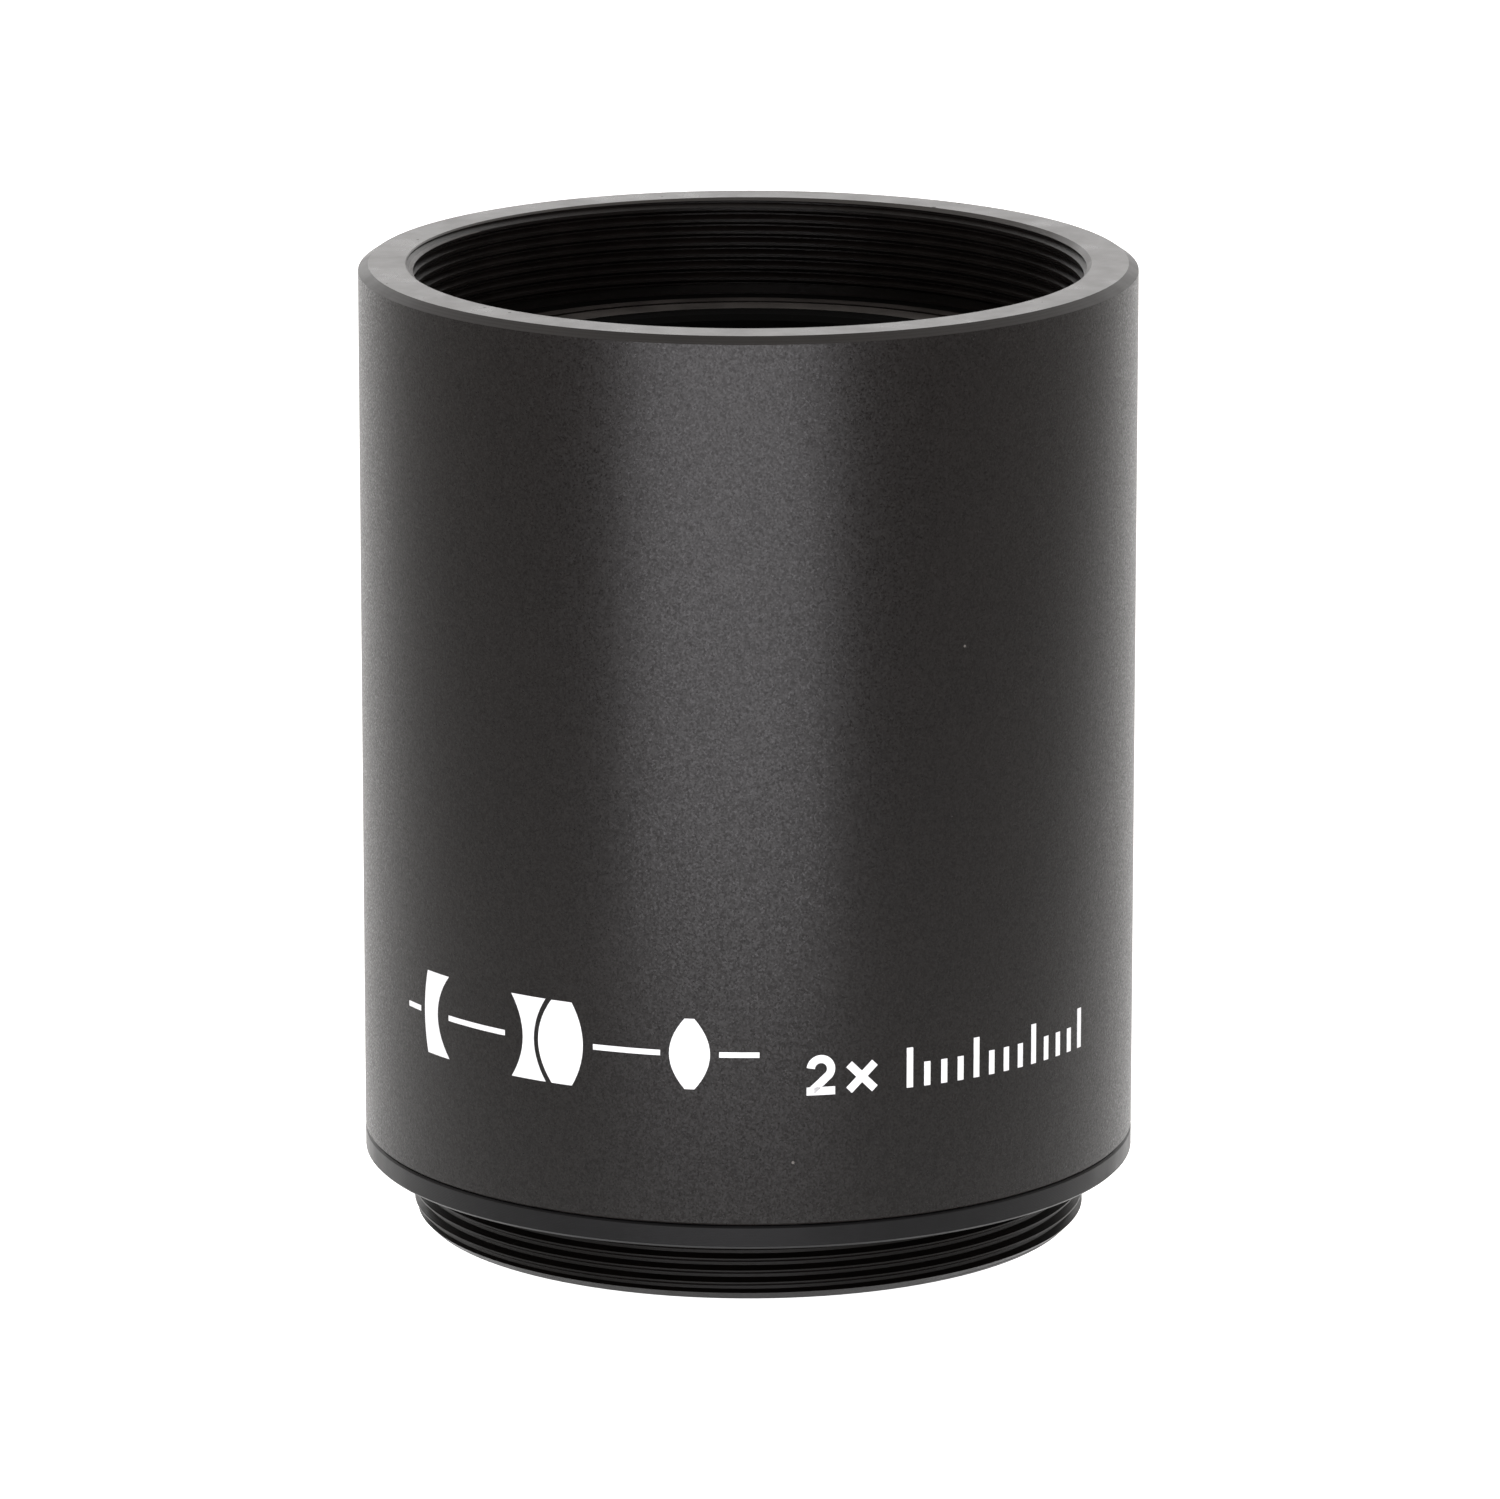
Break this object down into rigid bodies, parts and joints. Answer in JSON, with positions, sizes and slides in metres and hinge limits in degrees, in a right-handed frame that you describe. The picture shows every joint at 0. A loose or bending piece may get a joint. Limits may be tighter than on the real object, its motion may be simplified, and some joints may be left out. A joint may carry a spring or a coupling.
{
  "type": "barlow lens",
  "caption": "Tubular screw-in barlow converter: black metal barrel with a female T thread at the telescope end, a lens cell inside, and a male T thread ring at the camera end.",
  "frame": {"origin": "optical axis at the end face of the male camera thread, the plane that it stands on", "axes": "+Z along the optical axis out of the female telescope thread; -Y towards the printed side"},
  "size_m": [0.048, 0.048, 0.0604],
  "materials": {
    "barrel_anodise": "matte black hard anodising over a fine blasted surface",
    "ring_anodise": "smooth satin black anodising, threads slightly glossier",
    "cell_anodise": "satin black anodising",
    "flat_black": "flat black anti-reflection paint",
    "shim_brass": "rolled shim stock",
    "coated_glass": "polished optical glass with a green-violet anti-reflection coating",
    "white_ink": "pad-printed matte white ink"
  },
  "bodies": {
    "optical_tube": {"barrel": "barrel_anodise", "lens_cell": "cell_anodise", "cell_retaining_ring": "cell_anodise", "focus_shim": "shim_brass", "front_lock_ring": "cell_anodise", "front_element": "coated_glass", "front_spacer": "cell_anodise", "doublet_front_element": "coated_glass", "doublet_rear_element": "coated_glass", "light_stop": "flat_black", "rear_element": "coated_glass", "rear_lock_ring": "cell_anodise"},
    "rear_baffle": {"rear_baffle": "flat_black"},
    "rear_mount_ring": {"rear_mount_ring": "ring_anodise"}
  },
  "joints": [
    {"name": "rear_ring_travel", "type": "slide", "parent": "optical_tube", "child": "rear_baffle", "axis": [0, 0, -1], "range_m": [0, 0.00375]},
    {"name": "rear_ring_unscrew", "type": "hinge", "parent": "rear_baffle", "child": "rear_mount_ring", "pos_m": [0, 0, 0.0057], "axis": [0, 0, -1], "range_deg": [0, 1800]}
  ],
  "couplings": [
    {"joint": "rear_ring_travel", "follows": "rear_ring_unscrew", "m_per_rad": 0.00011937}
  ]
}
